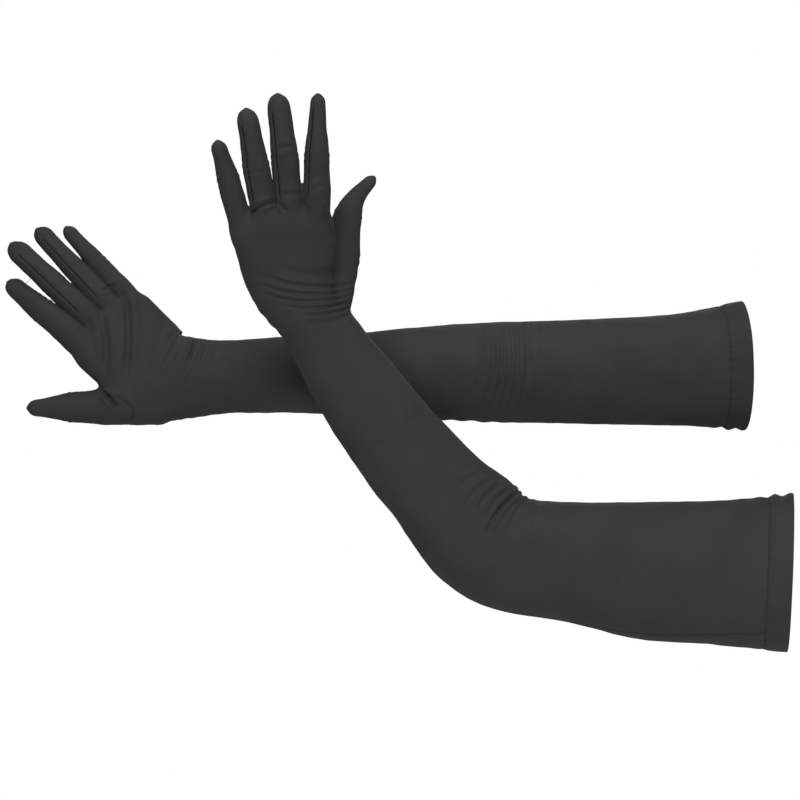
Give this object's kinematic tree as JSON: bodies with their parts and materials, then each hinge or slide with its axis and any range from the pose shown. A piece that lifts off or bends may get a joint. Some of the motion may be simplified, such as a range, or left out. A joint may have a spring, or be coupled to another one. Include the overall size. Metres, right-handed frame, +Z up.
{
  "type": "opera gloves",
  "caption": "Pair of long over-elbow stretch-knit opera gloves shaped as worn with the arms crossing, each with set-in finger side strips and a folded hem.",
  "frame": {"origin": "middle of the right glove's open hem, where the arm that wears it goes in", "axes": "+X from the fingers towards the open hems, +Y from the backs of the hands towards the palms, +Z up"},
  "size_m": [0.6271, 0.2677, 0.3958],
  "materials": {
    "glove_knit": "matt black fine stretch knit, very soft sheen",
    "strip_knit": "the same black knit, cut across the rib",
    "hem_knit": "the same black knit, folded double",
    "sewing_thread": "black polyester thread and seam allowance"
  },
  "bodies": {
    "right_upper_arm": {"right_hem_band": "hem_knit", "right_hem_stitching": "sewing_thread", "right_upper_sleeve": "glove_knit", "right_upper_side_seam": "sewing_thread", "right_elbow_section": "glove_knit"},
    "right_forearm": {"right_forearm_sleeve": "glove_knit", "right_forearm_side_seam": "sewing_thread", "right_wrist_section": "glove_knit"},
    "right_palm": {"right_hand": "glove_knit", "right_thumb_knuckle": "glove_knit", "right_index_knuckle": "glove_knit", "right_middle_knuckle": "glove_knit", "right_ring_knuckle": "glove_knit", "right_little_knuckle": "glove_knit"},
    "right_thumb_finger": {"right_thumb": "glove_knit"},
    "right_index_finger": {"right_index": "glove_knit", "right_index_right_side_strip": "strip_knit"},
    "right_middle_finger": {"right_middle": "glove_knit", "right_middle_left_side_strip": "strip_knit", "right_middle_right_side_strip": "strip_knit"},
    "right_ring_finger": {"right_ring": "glove_knit", "right_ring_left_side_strip": "strip_knit", "right_ring_right_side_strip": "strip_knit"},
    "right_little_finger": {"right_little": "glove_knit", "right_little_left_side_strip": "strip_knit"},
    "left_upper_arm": {"left_hem_band": "hem_knit", "left_hem_stitching": "sewing_thread", "left_upper_sleeve": "glove_knit", "left_upper_side_seam": "sewing_thread", "left_elbow_section": "glove_knit"},
    "left_forearm": {"left_forearm_sleeve": "glove_knit", "left_forearm_side_seam": "sewing_thread", "left_wrist_section": "glove_knit"},
    "left_palm": {"left_hand": "glove_knit", "left_thumb_knuckle": "glove_knit", "left_index_knuckle": "glove_knit", "left_middle_knuckle": "glove_knit", "left_ring_knuckle": "glove_knit", "left_little_knuckle": "glove_knit"},
    "left_thumb_finger": {"left_thumb": "glove_knit"},
    "left_index_finger": {"left_index": "glove_knit", "left_index_left_side_strip": "strip_knit"},
    "left_middle_finger": {"left_middle": "glove_knit", "left_middle_left_side_strip": "strip_knit", "left_middle_right_side_strip": "strip_knit"},
    "left_ring_finger": {"left_ring": "glove_knit", "left_ring_left_side_strip": "strip_knit", "left_ring_right_side_strip": "strip_knit"},
    "left_little_finger": {"left_little": "glove_knit", "left_little_right_side_strip": "strip_knit"}
  },
  "joints": [
    {"name": "right_elbow", "type": "hinge", "parent": "right_upper_arm", "child": "right_forearm", "pos_m": [-0.22628, 0, 0.00668], "axis": [0, 1, 0], "range_deg": [-5, 95], "deforming": ["right_elbow_section"]},
    {"name": "right_wrist", "type": "hinge", "parent": "right_forearm", "child": "right_palm", "pos_m": [-0.45382, 0, -0.01268], "axis": [-0.3584, -0.1466, -0.922], "range_deg": [-45, 60], "deforming": ["right_wrist_section"]},
    {"name": "right_thumb_base", "type": "hinge", "parent": "right_palm", "child": "right_thumb_finger", "pos_m": [-0.5202, -0.00967, -0.03269], "axis": [0.011, -0.2021, -0.9793], "range_deg": [-10, 40], "deforming": ["right_thumb_knuckle"]},
    {"name": "right_index_base", "type": "hinge", "parent": "right_palm", "child": "right_index_finger", "pos_m": [-0.55186, -0.01268, 0.02856], "axis": [-0.568, -0.332, -0.7531], "range_deg": [-10, 48], "deforming": ["right_index_knuckle"]},
    {"name": "right_middle_base", "type": "hinge", "parent": "right_palm", "child": "right_middle_finger", "pos_m": [-0.53857, -0.00565, 0.04264], "axis": [-0.6388, -0.3409, -0.6898], "range_deg": [-10, 58], "deforming": ["right_middle_knuckle"]},
    {"name": "right_ring_base", "type": "hinge", "parent": "right_palm", "child": "right_ring_finger", "pos_m": [-0.52444, 0.00121, 0.0547], "axis": [-0.6574, -0.3422, -0.6714], "range_deg": [-10, 58], "deforming": ["right_ring_knuckle"]},
    {"name": "right_little_base", "type": "hinge", "parent": "right_palm", "child": "right_little_finger", "pos_m": [-0.51154, 0.00743, 0.06546], "axis": [-0.7159, -0.3469, -0.6059], "range_deg": [-10, 58], "deforming": ["right_little_knuckle"]},
    {"name": "left_glove_lift", "type": "slide", "parent": "right_upper_arm", "child": "left_upper_arm", "axis": [0, 1, 0], "range_m": [-0.25, 0]},
    {"name": "left_elbow", "type": "hinge", "parent": "left_upper_arm", "child": "left_forearm", "pos_m": [-0.20515, -0.0947, -0.13696], "axis": [0, 1, 0], "range_deg": [-50, 35], "deforming": ["left_elbow_section"]},
    {"name": "left_wrist", "type": "hinge", "parent": "left_forearm", "child": "left_palm", "pos_m": [-0.3456, -0.12564, 0.03314], "axis": [0.9362, -0.0649, 0.3454], "range_deg": [-60, 35], "deforming": ["left_wrist_section"]},
    {"name": "left_thumb_base", "type": "hinge", "parent": "left_palm", "child": "left_thumb_finger", "pos_m": [-0.32554, -0.11629, 0.08289], "axis": [-0.8591, -0.313, 0.405], "range_deg": [-10, 40], "deforming": ["left_thumb_knuckle"]},
    {"name": "left_index_base", "type": "hinge", "parent": "left_palm", "child": "left_index_finger", "pos_m": [-0.33999, -0.17418, 0.12347], "axis": [-0.9972, -0.068, 0.032], "range_deg": [-10, 48], "deforming": ["left_index_knuckle"]},
    {"name": "left_middle_base", "type": "hinge", "parent": "left_palm", "child": "left_middle_finger", "pos_m": [-0.36054, -0.17418, 0.12203], "axis": [-0.9984, -0.01, -0.055], "range_deg": [-10, 58], "deforming": ["left_middle_knuckle"]},
    {"name": "left_ring_base", "type": "hinge", "parent": "left_palm", "child": "left_ring_finger", "pos_m": [-0.38008, -0.17306, 0.11901], "axis": [-0.9957, 0.015, -0.091], "range_deg": [-10, 58], "deforming": ["left_ring_knuckle"]},
    {"name": "left_little_base", "type": "hinge", "parent": "left_palm", "child": "left_little_finger", "pos_m": [-0.39772, -0.17194, 0.11611], "axis": [-0.9831, 0.068, -0.17], "range_deg": [-10, 58], "deforming": ["left_little_knuckle"]}
  ]
}
